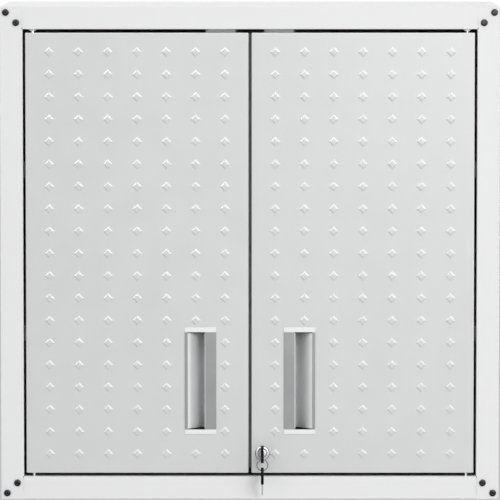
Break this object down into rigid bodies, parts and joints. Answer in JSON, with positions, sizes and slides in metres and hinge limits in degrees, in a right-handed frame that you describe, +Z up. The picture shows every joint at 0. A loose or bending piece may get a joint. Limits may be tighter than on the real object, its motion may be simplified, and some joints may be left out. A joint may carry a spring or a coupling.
{
  "type": "hanging wall cabinet",
  "caption": "White steel wall cabinet with two embossed swing doors, recessed pull handles, adjustable shelves and a keyed cam lock.",
  "frame": {"origin": "centre of the wall bolt pattern, on the plane where the hanging rails meet the wall", "axes": "+X to the right seen from the front, +Y out of the back into the wall, +Z up; the doors face -Y"},
  "size_m": [0.77, 0.3559, 0.762],
  "materials": {
    "case_paint": "smooth satin white powder coat",
    "door_paint": "satin white powder coat over embossed sheet",
    "shelf_paint": "satin white powder coat",
    "zinc": "bright zinc plate",
    "black_steel": "black oxide",
    "aluminium": "satin anodised extrusion",
    "white_plastic": "white moulded plastic",
    "black_plastic": "black moulded plastic",
    "nylon": "natural nylon",
    "magnet": "ground ferrite and steel",
    "lock_chrome": "polished chrome plate",
    "key_steel": "nickel plated steel"
  },
  "bodies": {
    "casing": {"left_side_panel": "case_paint", "right_side_panel": "case_paint", "top_panel": "case_paint", "bottom_panel": "case_paint", "back_panel": "case_paint", "upper_hang_rail": "zinc", "lower_hang_rail": "zinc", "corner_plates": "zinc", "corner_screws": "black_steel", "corner_nuts": "zinc", "back_screws": "zinc", "left_front_upright": "zinc", "left_rear_upright": "zinc", "right_front_upright": "zinc", "right_rear_upright": "zinc", "upper_shelf_clips": "zinc", "lower_shelf_clips": "zinc", "catch_bracket": "zinc", "catch_housings": "white_plastic", "catch_magnets": "magnet", "catch_screws": "zinc", "left_hinge_pins": "zinc", "right_hinge_pins": "zinc", "hinge_washers": "nylon"},
    "left_door": {"left_door_skin": "door_paint", "left_door_stiffener": "zinc", "left_door_bushes": "nylon", "left_strike": "zinc", "left_handle_shell": "aluminium", "left_handle_caps": "white_plastic", "left_handle_end_plates": "black_plastic", "left_handle_clamps": "zinc", "left_handle_screws": "zinc", "gap_strip": "door_paint"},
    "right_door": {"right_door_skin": "door_paint", "right_door_stiffener": "zinc", "right_door_bushes": "nylon", "right_strike": "zinc", "right_handle_shell": "aluminium", "right_handle_caps": "white_plastic", "right_handle_end_plates": "black_plastic", "right_handle_clamps": "zinc", "right_handle_screws": "zinc", "lock_body": "lock_chrome", "lock_nut": "zinc"},
    "lock": {"lock_plug": "lock_chrome", "lock_cam": "zinc", "cam_screw": "zinc"},
    "key": {"key_blade": "key_steel", "key_bow": "black_plastic"},
    "ring": {"key_ring": "key_steel"},
    "spare_key": {"spare_key_blade": "key_steel", "spare_key_bow": "black_plastic"},
    "upper_shelf": {"upper_shelf": "shelf_paint", "upper_shelf_stiffener": "zinc"},
    "lower_shelf": {"lower_shelf": "shelf_paint", "lower_shelf_stiffener": "zinc"}
  },
  "joints": [
    {"name": "left_door_swing", "type": "hinge", "parent": "casing", "child": "left_door", "pos_m": [-0.3345, -0.3085, 0], "axis": [0, 0, -1], "range_deg": [0, 110]},
    {"name": "right_door_swing", "type": "hinge", "parent": "casing", "child": "right_door", "pos_m": [0.3345, -0.3085, 0], "axis": [0, 0, 1], "range_deg": [0, 110]},
    {"name": "lock_turn", "type": "hinge", "parent": "right_door", "child": "lock", "pos_m": [0.019, -0.308, -0.31], "axis": [0, 1, 0], "range_deg": [0, 90]},
    {"name": "key_pull", "type": "slide", "parent": "lock", "child": "key", "axis": [0, -1, 0], "range_m": [0, 0.03]},
    {"name": "ring_swing", "type": "hinge", "parent": "key", "child": "ring", "pos_m": [0.019, -0.3372, -0.3176], "axis": [-1, 0, 0], "range_deg": [0, 60]},
    {"name": "spare_key_swing", "type": "hinge", "parent": "ring", "child": "spare_key", "pos_m": [0.019, -0.3372, -0.3345], "axis": [-1, 0, 0], "range_deg": [-5, 50]},
    {"name": "upper_shelf_lift", "type": "slide", "parent": "casing", "child": "upper_shelf", "axis": [0, 0, 1], "range_m": [0, 0.015]},
    {"name": "lower_shelf_lift", "type": "slide", "parent": "casing", "child": "lower_shelf", "axis": [0, 0, 1], "range_m": [0, 0.015]}
  ]
}
